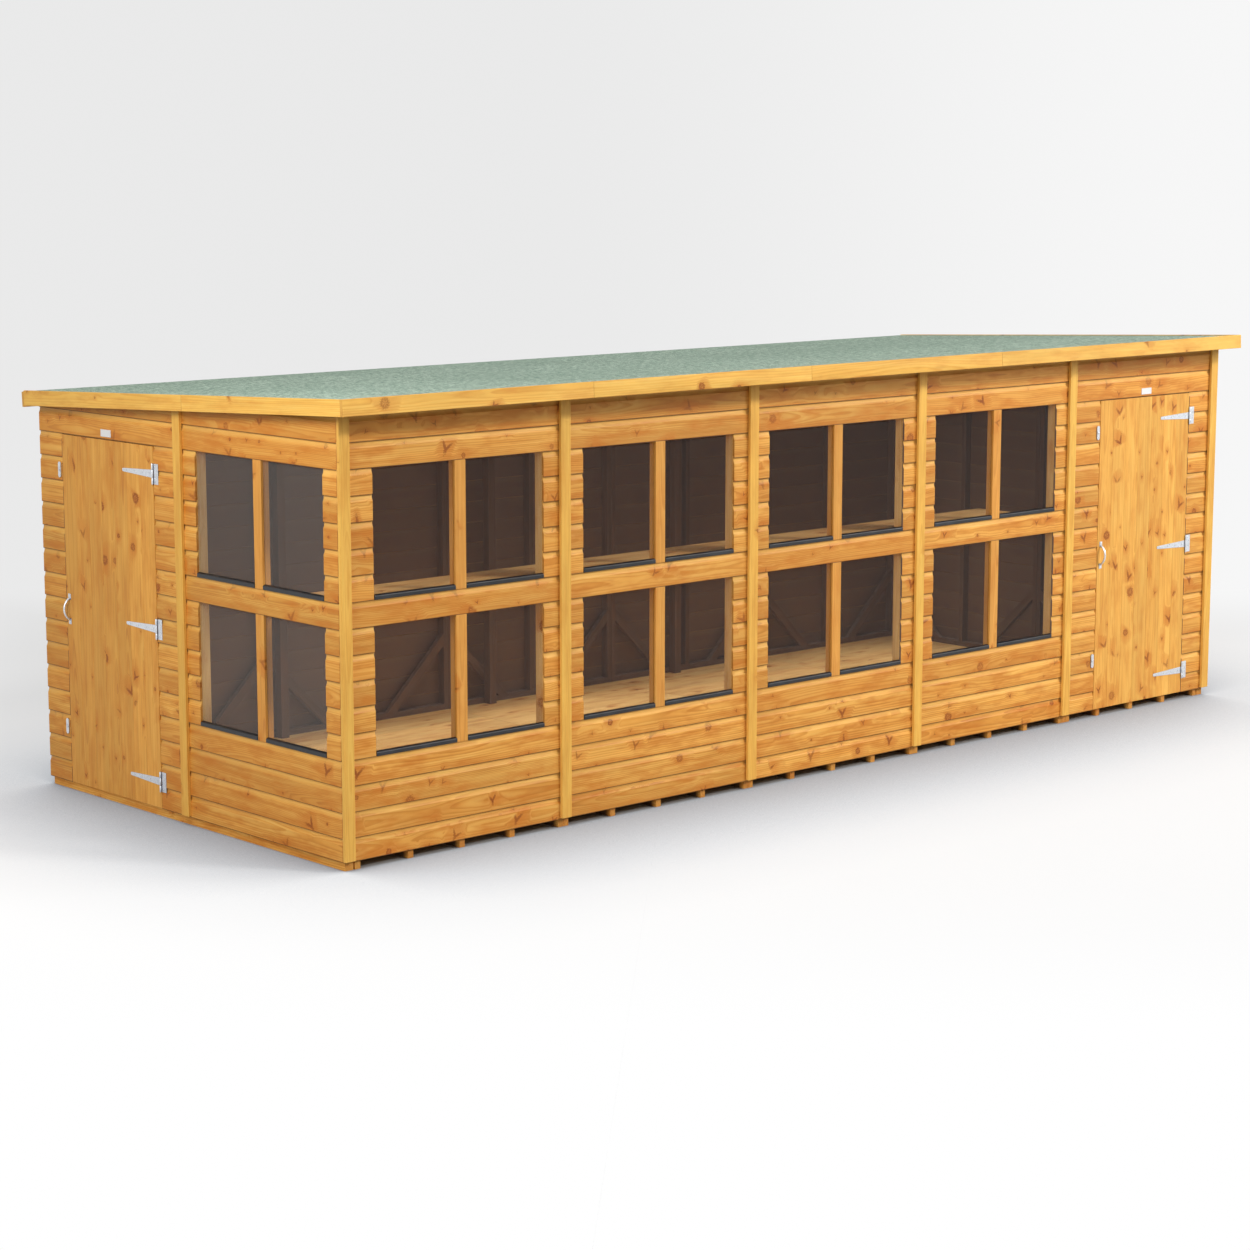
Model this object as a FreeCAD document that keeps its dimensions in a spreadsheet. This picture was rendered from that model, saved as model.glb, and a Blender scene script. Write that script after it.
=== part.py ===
import FreeCAD, Part
import math
import os
import re
import Sketcher

# Potting shed: a long pent shed of framed panels on a joisted floor, with four glazed
# front panels, one glazed end panel and two ledged doors on T-hinges. Millimetres and degrees.
# Wall places are counted from the front left corner of the cladding; the part's own origin is
# on the ground in the middle of the walls, +X to the right along the front and +Y to the back.

# Driving dimensions
SIZES = {
    # walls
    "module": 1200,
    "depth": 2400,
    "corner_gap": 4,
    "panel_gap": 2,
    "frame_deep": 48,
    "frame_wide": 30,
    "wall_cap": 15,
    "knee_wide": 46,
    "knee_reach": 326,
    # cladding boards
    "cladding": 12,
    "board_pitch": 114.3,
    "bottom_board": 103,
    "cladding_foot": 39,
    "board_joint": 0.8,
    "tongue_tall": 8,
    "tongue_thick": 5,
    "cove_tall": 26,
    "cove_deep": 6,
    "cove_radius": 40,
    # floor
    "joist_wide": 30,
    "joist_tall": 45,
    "joist_setback": 1,
    "bearer_wide": 44,
    "floor_board": 12,
    "floor_joint": 0.6,
    # roof
    "roof_pitch": 2.66,
    "roof_seat": 1,
    "rafter_wide": 44,
    "rafter_deep": 45,
    "post_wide": 48,
    "roof_board": 12,
    "felt_thick": 3,
    "front_gap": 92.5,
    "end_gap": 33,
    "back_gap": 12,
    "fascia_thick": 16,
    "fascia_tall": 73.5,
    "fascia_drop": 9.5,
    "back_fascia_drop": 15.5,
    "fascia_joint": 0.6,
    "front_fascia_piece": 1403,
    "end_fascia_piece": 1183,
    # cover strips
    "strip_wide": 58,
    "strip_thick": 16,
    "strip_foot": 45,
    "strip_past_corner": 7,
    # windows
    "front_window_left": 117,
    "front_window_right": 121,
    "end_window_left": 124,
    "end_window_right": 114,
    "glazing_bar_wide": 60,
    "rear_bar_deep": 28,
    "pane_thick": 3,
    "pane_play": 1,
    "sill_tall": 26,
    "sill_fall": 7,
    "sill_out": 3,
    # potting shelf behind the front windows
    "shelf_deep": 300,
    "shelf_thick": 18,
    "shelf_short": 314,
    "bracket_thick": 30,
    "bracket_tall": 96,
    "bracket_toe": 30,
    "bracket_nose": 24,
    "bracket_inset": 60,
    # doors
    "front_door_left": 250,
    "front_door_right": 162,
    "end_door_left": 199,
    "end_door_right": 213,
    "door_gap": 3,
    "door_relief": 0.5,
    "door_joint": 0.6,
    "door_stop": 12,
    "ledge_wide": 100,
    "ledge_thick": 20,
    "ledge_inset": 45,
    "brace_tall": 110,
    # hinges, centre heights above the ground
    "hinge_low": 169,
    "hinge_middle": 891,
    "hinge_top": 1613,
    "leaf_thick": 2,
    "strap_long": 258,
    "strap_root": 38,
    "strap_tip": 16,
    "plate_wide": 42,
    "plate_tall": 95,
    "knuckle_radius": 5,
    "knuckle_play": 0.4,
    "pin_radius": 3,
    "pin_play": 0.05,
    "pin_past": 1.5,
    "notch_room": 1.2,
    "turning_room": 0.3,
    # pull handles
    "handle_height": 897,
    "handle_side": 27,
    "handle_chord": 106,
    "handle_rise": 32,
    "handle_bar": 5.5,
    "foot_wide": 22,
    "foot_tall": 28,
    # turn buttons
    "button_low": 316,
    "button_top": 1568,
    "button_side": 20,
    "button_long": 76,
    "button_wide": 22,
    "button_thick": 5,
    "button_boss": 8,
    "boss_rise": 1.8,
    "pivot_play": 0.08,
    # screws
    "screw_long": 13,
    "screw_radius": 2,
    "screw_head": 4,
    "screw_dome": 1.8,
    "screw_rim": 0.9,
    "screw_play": 0.3,
    # bare name plates over the doors
    "badge_wide": 86,
    "badge_tall": 34,
    "badge_thick": 2,
    "badge_rise": 12,
}

# Counts
FRONT_PANELS = 5
WINDOW_PANELS = 4
ROWS = 17
ROWS_BELOW = 4
ROWS_WINDOW = 5
CUT_ROWS = 3
JOISTS = 5
FLOOR_ROWS = 21
RAFTERS_IN_PIECE = 2
ROOF_ROWS = 22
FELT_STRIPS = 3
FASCIA_PIECES = 4
SHELF_ROWS = 2
DOOR_BOARDS = 7
HINGES = ("hinge_low", "hinge_middle", "hinge_top")

# Expressions built from the driving dimensions
FRAME_BACK = "(cladding + frame_deep)"
END_ZONE = f"({FRAME_BACK} + corner_gap)"
FRONT = f"({FRONT_PANELS} * module + 2 * {END_ZONE})"
ORIGIN_X = f"({FRONT} / 2)"
ORIGIN_Y = "(depth / 2)"
FLOOR_TOP = "(joist_tall + floor_board)"
WALL_TOP = f"(cladding_foot + bottom_board + {ROWS - 1} * board_pitch + wall_cap)"
DOOR_THICK = "(cladding - door_relief)"
KNUCKLE_OUT = "(knuckle_radius + turning_room)"
BORE = "(pin_radius + pin_play)"

# Turns: how an outline or a primitive comes to stand along, against or out of a wall
X_AXIS = FreeCAD.Vector(1, 0, 0)
Y_AXIS = FreeCAD.Vector(0, 1, 0)
Z_AXIS = FreeCAD.Vector(0, 0, 1)
ALONG_WALL = FreeCAD.Rotation(Y_AXIS, Z_AXIS, X_AXIS, "XYZ")
AGAINST_WALL = FreeCAD.Rotation(X_AXIS, 90)
OUT_OF_WALL = FreeCAD.Rotation(Z_AXIS, 180)
RING_UPRIGHT = FreeCAD.Rotation(Y_AXIS, 90)
DOWN_THE_ROOF = FreeCAD.Rotation(-X_AXIS, SIZES["roof_pitch"])
NO_TURN = FreeCAD.Rotation()

doc = FreeCAD.newDocument("potting_shed")
sheet = doc.addObject("Spreadsheet::Sheet", "Sizes")
for row, (alias, value) in enumerate(SIZES.items(), start=1):
    sheet.set(f"A{row}", alias)
    sheet.set(f"B{row}", str(value))
    sheet.setAlias(f"B{row}", alias)
doc.recompute()

nodes = []


# Helpers that bind sizes and places

def bound(text):
    """Point the alias words of an expression at the sheet."""
    return re.sub(r"[a-z_]+", lambda word: f"Sizes.{word[0]}" if word[0] in SIZES else word[0], str(text))


def place(obj, x, y, z, turn=NO_TURN):
    """Stand an object at a place counted from the front left corner."""
    obj.Placement = FreeCAD.Placement(FreeCAD.Vector(), turn)
    obj.setExpression("Placement.Base.x", bound(f"{x} - {ORIGIN_X}"))
    obj.setExpression("Placement.Base.y", bound(f"{y} - {ORIGIN_Y}"))
    obj.setExpression("Placement.Base.z", bound(z))
    return obj


def new(kind, name, **sizes):
    """Add an object whose named sizes are bound to expressions."""
    obj = doc.addObject(kind, name)
    for size, text in sizes.items():
        obj.setExpression(size, bound(text))
    return obj


def box(name, length, width, height):
    return new("Part::Box", name, Length=length, Width=width, Height=height)


def cylinder(name, radius, height):
    return new("Part::Cylinder", name, Radius=radius, Height=height)


def cut(name, base, tool):
    obj = doc.addObject("Part::Cut", name)
    obj.Base = base
    obj.Tool = tool
    return obj


def fuse(name, shapes):
    obj = doc.addObject("Part::MultiFuse", name)
    obj.Shapes = shapes
    return obj


def group(name, members):
    obj = doc.addObject("Part::Compound", name)
    obj.Links = members
    return obj


def node(name, members):
    """A named sub-part, made of one piece or of a group of separate pieces."""
    obj = members[0] if len(members) == 1 else group(name, members)
    obj.Label = name
    nodes.append(obj)


# Flat outlines

def pin_corner(sketch, name, side, end, corner):
    """Hold one end of a side at two bound distances from the sketch's origin."""
    for axis, text in zip("XY", corner):
        index = sketch.addConstraint(Sketcher.Constraint(f"Distance{axis}", -1, 1, side, end, 1))
        sketch.renameConstraint(index, f"{name}{axis}")
        sketch.setExpression(f"Constraints.{name}{axis}", bound(text))


def hollow_arc(start, end, radius):
    """An arc from start to end that sinks to the right of that line."""
    chord = end - start
    sink = FreeCAD.Vector(chord.y, -chord.x, 0).normalize()
    middle = (start + end) * 0.5 + sink * (radius - math.sqrt(radius ** 2 - chord.Length ** 2 / 4))
    return Part.Arc(start, middle, end)


def outline(name, corners, hollow=None):
    """A closed sketch of straight sides; the last side can be hollow, with a named radius."""
    sketch = doc.addObject("Sketcher::SketchObject", name)
    last = len(corners) - 1
    loose = [FreeCAD.Vector(math.cos(i), math.sin(i), 0) for i in range(len(corners))]
    for i in range(last):
        sketch.addGeometry(Part.LineSegment(loose[i], loose[i + 1]), False)
        pin_corner(sketch, f"corner{i}", i, 1, corners[i])
    pin_corner(sketch, f"corner{last}", last - 1, 2, corners[last])
    for i in range(last - 1):
        sketch.addConstraint(Sketcher.Constraint("Coincident", i, 2, i + 1, 1))
    sketch.recompute()
    first_point = sketch.Geometry[0].StartPoint
    last_point = sketch.Geometry[last - 1].EndPoint
    if hollow:
        sketch.addGeometry(hollow_arc(last_point, first_point, SIZES[hollow]), False)
        index = sketch.addConstraint(Sketcher.Constraint("Radius", last, SIZES[hollow]))
        sketch.renameConstraint(index, hollow)
        sketch.setExpression(f"Constraints.{hollow}", bound(hollow))
        # an arc runs the other way round in a sketch when its centre lies on the other side
        start_end = (1, 2) if (sketch.Geometry[last].StartPoint - last_point).Length < 1e-6 else (2, 1)
    else:
        sketch.addGeometry(Part.LineSegment(last_point, first_point), False)
        start_end = (1, 2)
    sketch.addConstraint(Sketcher.Constraint("Coincident", last - 1, 2, last, start_end[0]))
    sketch.addConstraint(Sketcher.Constraint("Coincident", last, start_end[1], 0, 1))
    return sketch


def extrude(name, sketch, length):
    obj = new("Part::Extrusion", name, LengthFwd=length)
    obj.Base = sketch
    obj.DirMode = "Normal"
    obj.Solid = True
    return obj


# The four walls, each seen from outside: "a" runs left to right, "d" goes in, "z" goes up

class Wall:
    def __init__(self, turn, x, y):
        self.turn = FreeCAD.Rotation(Z_AXIS, turn)
        self.x = x
        self.y = y

    def stand(self, obj, a, d, z, turn=NO_TURN):
        x = self.x.format(a=f"({a})", d=f"({d})")
        y = self.y.format(a=f"({a})", d=f"({d})")
        return place(obj, x, y, z, self.turn.multiply(turn))

    def timber(self, name, a, d, z, length, deep, tall):
        return self.stand(box(name, length, deep, tall), a, d, z)

    def strip(self, name, sketch, a, z, length):
        """A profile run along the wall."""
        return self.stand(extrude(name, sketch, length), a, "0", z, ALONG_WALL)

    def plate(self, name, sketch, a, d, z, thick):
        """A flat outline standing against the wall, thickened outwards."""
        return self.stand(extrude(name, sketch, thick), a, d, z, AGAINST_WALL)

    def disc(self, name, a, d, z, radius, thick):
        """A cylinder standing out from the wall."""
        return self.stand(cylinder(name, radius, thick), a, d, z, AGAINST_WALL)

    def roof_line(self, a, d):
        """Height just under the roof over a place in the wall."""
        y = self.y.format(a=f"({a})", d=f"({d})")
        return f"({WALL_TOP} - roof_seat / cos(roof_pitch) - tan(roof_pitch) * {y})"


FRONT_WALL = Wall(0, "{a}", "{d}")
LEFT_WALL = Wall(-90, "{d}", "(depth - {a})")
BACK_WALL = Wall(180, f"({FRONT} - {{a}})", "(depth - {d})")
RIGHT_WALL = Wall(90, f"({FRONT} - {{d}})", "{a}")
LEVEL_WALLS = (FRONT_WALL, BACK_WALL)


def on_roof(obj, x, down, rise):
    """Lay an object on the roof: down the slope from the front wall, and up from its underside."""
    y = f"(({down}) * cos(roof_pitch) + ({rise}) * sin(roof_pitch))"
    z = f"({WALL_TOP} - ({down}) * sin(roof_pitch) + ({rise}) * cos(roof_pitch))"
    place(obj, x, y, z, DOWN_THE_ROOF)
    obj.setExpression("Placement.Rotation.Angle", bound("roof_pitch"))
    return obj


# Heights of the rows of cladding

def row_top(row):
    return f"(cladding_foot + bottom_board + {row} * board_pitch)"


def row_foot(row):
    return "cladding_foot" if row == 0 else row_top(row - 1)


def rows_at_back():
    """How many rows still reach above their own tongue under the roof at the back wall."""
    front_rise = (ROWS - 1) * SIZES["board_pitch"] + SIZES["wall_cap"]
    back_rise = front_rise - math.tan(math.radians(SIZES["roof_pitch"])) * SIZES["depth"]
    return min(ROWS, 1 + math.ceil((back_rise - SIZES["tongue_tall"]) / SIZES["board_pitch"]))


LOWER_SILL = row_top(ROWS_BELOW - 1)
LOWER_HEAD = row_top(ROWS_BELOW + ROWS_WINDOW - 1)
UPPER_SILL = row_top(ROWS_BELOW + ROWS_WINDOW)
UPPER_HEAD = row_top(ROWS_BELOW + 2 * ROWS_WINDOW)
SILL_ROWS = (ROWS_BELOW - 1, ROWS_BELOW + ROWS_WINDOW)
WINDOW_ROWS = set(range(ROWS_BELOW, ROWS_BELOW + 2 * ROWS_WINDOW + 1)) - set(SILL_ROWS)
WINDOW_TALL = f"({ROWS_WINDOW} * board_pitch)"
DOOR_ROWS = set(range(ROWS_BELOW + 2 * ROWS_WINDOW + 1))

# Cladding boards

LAP = "(cladding - tongue_thick)"
TONGUE = [(LAP, "{top}"), (LAP, "{top} + tongue_tall"), ("cladding", "{top} + tongue_tall")]
SAWN_TOP = [("cladding", "{top}")]
REBATE_TOP = "tongue_tall + board_joint"
REBATE_BACK = f"{LAP} - board_joint / 2"
REBATE = [("cladding", REBATE_TOP), (REBATE_BACK, REBATE_TOP), (REBATE_BACK, "board_joint")]
SAWN_FOOT = [("cladding", "board_joint")]


def board_profile(name, top, upper, lower):
    """Section of a board: its shoulder, upper edge, back, lower edge and face, and the hollow cove."""
    corners = [("cove_deep", top)]
    corners += [(x, y.format(top=top)) for x, y in upper]
    corners += lower
    corners += [("0", "board_joint"), ("0", f"{top} - cove_tall")]
    return outline(name, corners, "cove_radius")


FOOT_ROW = board_profile("foot_row", "bottom_board", TONGUE, SAWN_FOOT)
FULL_ROW = board_profile("full_row", "board_pitch", TONGUE, REBATE)
SILL_ROW = board_profile("sill_row", "board_pitch", SAWN_TOP, REBATE)

ROOF_SPACE = on_roof(box("roof_space", f"2 * {FRONT}", "2 * depth", "depth"), f"(-{FRONT} / 2)", "-depth / 2",
                     "-roof_seat")


def board(wall, row, a, length, sill=False):
    """One board of a row; the highest rows of the end and back walls are cut under the roof."""
    profile = FOOT_ROW if row == 0 else SILL_ROW if sill else FULL_ROW
    piece = wall.strip("board", profile, a, row_foot(row), length)
    if wall is not FRONT_WALL and row >= ROWS - CUT_ROWS:
        return cut("cut_board", piece, ROOF_SPACE)
    return piece


def cladding(wall, a, length, opening=None, open_rows=(), sill_rows=()):
    """Rows of boards from a; the open rows are parted by an opening, given as its left edge and width."""
    boards = []
    for row in range(rows_at_back() if wall is BACK_WALL else ROWS):
        if row in open_rows:
            left, wide = opening
            right = f"({left} + {wide})"
            boards.append(board(wall, row, a, f"{left} - ({a})"))
            boards.append(board(wall, row, right, f"{a} + {length} - {right}"))
        else:
            boards.append(board(wall, row, a, length, row in sill_rows))
    return boards


# Wall frames

FRAME_FOOT = f"({FLOOR_TOP} + frame_wide)"


def level_top(wall):
    """Height of the top of a frame along the front or the back."""
    return wall.roof_line("0", FRAME_BACK if wall is FRONT_WALL else "cladding")


def stud_top(wall, a):
    """Height of a stud's top, under the top rail, which is level or slopes with the roof."""
    if wall in LEVEL_WALLS:
        return f"({level_top(wall)} - frame_wide)"
    low_side = a if wall is LEFT_WALL else f"{a} + frame_wide"
    return f"({wall.roof_line(low_side, '0')} - frame_wide / cos(roof_pitch))"


def stud(wall, a, z):
    return wall.timber("stud", a, "cladding", z, "frame_wide", "frame_deep", f"{stud_top(wall, a)} - ({z})")


def rail(wall, a, z, length):
    return wall.timber("rail", a, "cladding", z, length, "frame_deep", "frame_wide")


def top_rail(wall, a, length):
    """The rail under the roof; a sloping one is cut square inside the ends of its panel."""
    if wall in LEVEL_WALLS:
        return rail(wall, a, f"{level_top(wall)} - frame_wide", length)
    run = f"(({length}) - frame_wide * sin(roof_pitch)) / cos(roof_pitch)"
    beam = box("top_rail", "frame_deep", run, "frame_wide")
    if wall is LEFT_WALL:
        x = "cladding"
        y = f"(depth - ({a}) - ({length}))"
    else:
        x = f"({FRONT} - cladding - frame_deep)"
        y = f"({a})"
    drop = "(roof_seat + frame_wide)"
    return on_roof(beam, x, f"({y} + {drop} * sin(roof_pitch)) / cos(roof_pitch)", f"-{drop}")


def panel_edges(wall, a, length):
    """Both outer studs and the top rail of a panel."""
    return [
        stud(wall, a, FRAME_FOOT),
        stud(wall, f"({a} + {length} - frame_wide)", FRAME_FOOT),
        top_rail(wall, a, length),
    ]


def window_frame(wall, a, length, left, wide):
    timbers = panel_edges(wall, a, length)
    timbers.append(rail(wall, a, FLOOR_TOP, length))
    timbers.append(stud(wall, f"({left} - frame_wide)", FRAME_FOOT))
    timbers.append(stud(wall, f"({left} + {wide})", FRAME_FOOT))
    for height in (f"{LOWER_SILL} - frame_wide", LOWER_HEAD, f"{UPPER_SILL} - frame_wide", UPPER_HEAD):
        timbers.append(rail(wall, left, height, wide))
    return timbers


def door_frame(wall, a, length, left, wide):
    """Posts and a head that stand into the opening as stops for the door."""
    left_post = f"({left} + door_stop - frame_wide)"
    left_face = f"({left} + door_stop)"
    right_post = f"({left} + {wide} - door_stop)"
    right_back = f"({right_post} + frame_wide)"
    timbers = panel_edges(wall, a, length)
    timbers.append(stud(wall, left_post, FLOOR_TOP))
    timbers.append(stud(wall, right_post, FLOOR_TOP))
    timbers.append(rail(wall, a, FLOOR_TOP, f"{left_post} - ({a})"))
    timbers.append(rail(wall, right_back, FLOOR_TOP, f"{a} + {length} - {right_back}"))
    timbers.append(rail(wall, left_face, f"{UPPER_HEAD} - door_stop", f"{right_post} - {left_face}"))
    return timbers


def brace_outline(name, wide, tall, rising):
    """A mitred brace across a bay, rising or falling from left to right."""
    high = f"({tall} - brace_tall)"
    left, right = ("0", high) if rising else (high, "0")
    lower = [("0", left), (wide, right)]
    upper = [(wide, f"{right} + brace_tall"), ("0", f"{left} + brace_tall")]
    return outline(name, lower + upper)


def knee_outline(name, side):
    """A brace at 45 degrees in a panel's lower corner; side is -1 in a right corner, 1 in a left one."""
    reach = "knee_reach"
    outer = "(knee_reach + knee_wide * sqrt(2))"
    return outline(name, [
        (f"{side} * {reach}", "0"),
        (f"{side} * {outer}", "0"),
        ("0", outer),
        ("0", reach),
    ])


LEFT_KNEE = knee_outline("left_knee", 1)
RIGHT_KNEE = knee_outline("right_knee", -1)


def blind_frame(wall, a, length):
    """A panel with no opening: outer studs, a middle stud, rails and a brace in each lower corner."""
    timbers = panel_edges(wall, a, length)
    timbers.append(rail(wall, a, FLOOR_TOP, length))
    timbers.append(stud(wall, f"({a} + {length} / 2 - frame_wide / 2)", FRAME_FOOT))
    for knee, corner in ((LEFT_KNEE, "frame_wide"), (RIGHT_KNEE, f"{length} - frame_wide")):
        timbers.append(wall.plate("knee", knee, f"({a} + {corner})", FRAME_BACK, FRAME_FOOT, "frame_wide"))
    return timbers


# Windows

SILL_PROFILE = outline("sill_profile", [
    ("-sill_out", "board_joint"),
    ("cladding - board_joint", "board_joint"),
    ("cladding - board_joint", "sill_tall"),
    ("-sill_out", "sill_tall - sill_fall"),
])


def window(wall, left, wide):
    """The panes, glazing bars and sills of the two openings of a panel."""
    panes = []
    bars = []
    sills = []
    middle = f"({left} + {wide} / 2)"
    bar_left = f"({middle} - glazing_bar_wide / 2)"
    pane_wide = f"({wide} / 2 - 2 * pane_play)"
    sill_long = f"(({wide} - glazing_bar_wide) / 2 - 2 * pane_play)"
    for foot in (LOWER_SILL, UPPER_SILL):
        for a in (f"({left} + pane_play)", f"({middle} + pane_play)"):
            panes.append(wall.timber("pane", a, "cladding", f"{foot} + pane_play", pane_wide, "pane_thick",
                                     f"{WINDOW_TALL} - 2 * pane_play"))
        bars.append(wall.timber("front_bar", bar_left, "0", f"{foot} + board_joint", "glazing_bar_wide",
                                "cladding", WINDOW_TALL))
        bars.append(wall.timber("rear_bar", bar_left, "cladding + pane_thick", foot, "glazing_bar_wide",
                                "rear_bar_deep", WINDOW_TALL))
        for a in (f"({left} + pane_play)", f"({bar_left} + glazing_bar_wide + pane_play)"):
            sills.append(wall.strip("sill", SILL_PROFILE, a, foot, sill_long))
    return panes, bars, sills


# Front wall: four window panels and a door panel

PANEL = "(module - panel_gap)"
FRONT_WINDOW = "(module - front_window_left - front_window_right)"
FRONT_OPENING = "(module - front_door_left - front_door_right)"


def joint(panel):
    """Place of the joint on the left of a front or back panel."""
    return f"({END_ZONE} + {panel} * module)"


def panel_left(panel):
    return f"({joint(panel)} + panel_gap / 2)"


def panel_boards(panel, first):
    """Start and length of a panel's boards, which on the outer panels run on to first from the corners."""
    start = first if panel == 0 else panel_left(panel)
    end = f"({FRONT} - {first})" if panel == FRONT_PANELS - 1 else f"({panel_left(panel)} + {PANEL})"
    return start, f"({end} - {start})"


front_panes = []
front_bars = []
front_sills = []
for panel in range(WINDOW_PANELS):
    start, length = panel_boards(panel, "0")
    left = f"({joint(panel)} + front_window_left)"
    node(f"front_window_panel_{panel + 1}_frame",
         window_frame(FRONT_WALL, panel_left(panel), PANEL, left, FRONT_WINDOW))
    node(f"front_window_panel_{panel + 1}_cladding",
         cladding(FRONT_WALL, start, length, (left, FRONT_WINDOW), WINDOW_ROWS, SILL_ROWS))
    panes, bars, sills = window(FRONT_WALL, left, FRONT_WINDOW)
    front_panes += panes
    front_bars += bars
    front_sills += sills
node("front_window_panes", front_panes)
node("front_glazing_bars", front_bars)
node("front_window_sills", front_sills)

front_opening = f"({joint(WINDOW_PANELS)} + front_door_left)"
start, length = panel_boards(WINDOW_PANELS, "0")
node("front_door_panel_frame",
     door_frame(FRONT_WALL, panel_left(WINDOW_PANELS), PANEL, front_opening, FRONT_OPENING))
node("front_door_panel_cladding",
     cladding(FRONT_WALL, start, length, (front_opening, FRONT_OPENING), DOOR_ROWS))

# Left end wall: a door panel at the back and a window panel at the front. The end walls' boards run over the
# ends of the back wall's, and the front wall's boards over theirs.

END_PANEL = "(depth / 2 - cladding - board_joint - panel_gap / 2)"
END_TO_BACK = "(depth / 2 - panel_gap / 2)"
END_FIRST = "(cladding + board_joint)"
END_SECOND = "(depth / 2 + panel_gap / 2)"
END_WINDOW = "(depth / 2 - end_window_left - end_window_right)"
END_OPENING = "(depth / 2 - end_door_left - end_door_right)"
end_opening = "(end_door_left)"
end_window = "(depth / 2 + end_window_left)"

node("end_door_panel_frame", door_frame(LEFT_WALL, END_FIRST, END_PANEL, end_opening, END_OPENING))
node("end_door_panel_cladding",
     cladding(LEFT_WALL, "0", END_TO_BACK, (end_opening, END_OPENING), DOOR_ROWS))
node("end_window_panel_frame", window_frame(LEFT_WALL, END_SECOND, END_PANEL, end_window, END_WINDOW))
node("end_window_panel_cladding",
     cladding(LEFT_WALL, END_SECOND, END_PANEL, (end_window, END_WINDOW), WINDOW_ROWS, SILL_ROWS))
panes, bars, sills = window(LEFT_WALL, end_window, END_WINDOW)
node("end_window_panes", panes)
node("end_glazing_bars", bars)
node("end_window_sills", sills)

# Right end wall: two blind panels

timbers = []
boards = []
for start, length in ((END_FIRST, END_PANEL), (END_SECOND, END_TO_BACK)):
    timbers += blind_frame(RIGHT_WALL, start, END_PANEL)
    boards += cladding(RIGHT_WALL, start, length)
node("right_wall_frame", timbers)
node("right_wall_cladding", boards)

# Back wall: five blind panels

timbers = []
boards = []
for panel in range(FRONT_PANELS):
    start, length = panel_boards(panel, END_FIRST)
    timbers += blind_frame(BACK_WALL, panel_left(panel), PANEL)
    boards += cladding(BACK_WALL, start, length)
node("back_wall_frame", timbers)
node("back_wall_cladding", boards)

# Cover strips over the panel joints and the corners

def cover_strip(wall, a):
    """A strip on the face of the cladding, from beside the joists up to the roof."""
    low_side = f"({a} + strip_wide)" if wall is RIGHT_WALL else a
    low_face = "-strip_thick" if wall is BACK_WALL else "0"
    tall = f"{wall.roof_line(low_side, low_face)} - strip_foot"
    return wall.timber("strip", a, "-strip_thick", "strip_foot", "strip_wide", "strip_thick", tall)


STRIPS = (
    (FRONT_WALL, "front_cover_strips", "(-strip_past_corner)"),
    (BACK_WALL, "back_cover_strips", "(strip_thick)"),
)
for wall, name, start in STRIPS:
    strips = [cover_strip(wall, start)]
    for panel in range(1, FRONT_PANELS):
        strips.append(cover_strip(wall, f"({joint(panel)} - strip_wide / 2)"))
    strips.append(cover_strip(wall, f"({FRONT} - {start} - strip_wide)"))
    node(name, strips)
node("left_cover_strip", [cover_strip(LEFT_WALL, "(depth / 2 - strip_wide / 2)")])
node("right_cover_strip", [cover_strip(RIGHT_WALL, "(depth / 2 - strip_wide / 2)")])

# Potting shelf: planks level with the upper sills, on brackets from the middle rails

SHELF_LONG = f"({joint(WINDOW_PANELS)} - shelf_short - {END_ZONE})"
SHELF_FOOT = f"({UPPER_SILL} - shelf_thick)"
SHELF_PITCH = f"(shelf_deep / {SHELF_ROWS})"
BRACKET = outline("shelf_bracket", [
    (FRAME_BACK, "-bracket_tall"),
    (f"{FRAME_BACK} + bracket_toe", "-bracket_tall"),
    (f"{FRAME_BACK} + shelf_deep - bracket_toe", "-bracket_nose"),
    (f"{FRAME_BACK} + shelf_deep - bracket_toe", "0"),
    (FRAME_BACK, "0"),
])
planks = []
for i in range(SHELF_ROWS):
    deep = f"{FRAME_BACK} + {i} * {SHELF_PITCH}"
    planks.append(FRONT_WALL.timber("shelf_plank", END_ZONE, deep, SHELF_FOOT, SHELF_LONG,
                                    f"{SHELF_PITCH} - floor_joint", "shelf_thick"))
node("shelf_planks", planks)
bracket_places = [
    f"({END_ZONE} + bracket_inset)",
    f"({END_ZONE} + {SHELF_LONG} - bracket_inset - bracket_thick)",
]
for panel in range(1, WINDOW_PANELS):
    bracket_places.append(panel_left(panel))
brackets = []
for a in bracket_places:
    brackets.append(FRONT_WALL.strip("bracket", BRACKET, a, SHELF_FOOT, "bracket_thick"))
node("shelf_brackets", brackets)

# Floor: joists and end bearers from front to back, boards across them

FLOOR_EDGE = "(cladding + joist_setback)"
JOIST_LONG = f"(depth - 2 * {FLOOR_EDGE})"
FLOOR_PITCH = f"({JOIST_LONG} / {FLOOR_ROWS})"


def joist(name, x, wide):
    return place(box(name, wide, JOIST_LONG, "joist_tall"), x, FLOOR_EDGE, "0")


joists = []
planks = []
for panel in range(FRONT_PANELS):
    left = panel_left(panel)
    for i in range(JOISTS):
        joists.append(joist("joist", f"({left} + {i} * ({PANEL} - joist_wide) / {JOISTS - 1})", "joist_wide"))
    start = FLOOR_EDGE if panel == 0 else left
    end = f"({FRONT} - {FLOOR_EDGE})" if panel == FRONT_PANELS - 1 else f"({left} + {PANEL})"
    for i in range(FLOOR_ROWS):
        plank = box("floor_plank", f"{end} - {start}", f"{FLOOR_PITCH} - floor_joint", "floor_board")
        planks.append(place(plank, start, f"({FLOOR_EDGE} + {i} * {FLOOR_PITCH})", "joist_tall"))
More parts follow.
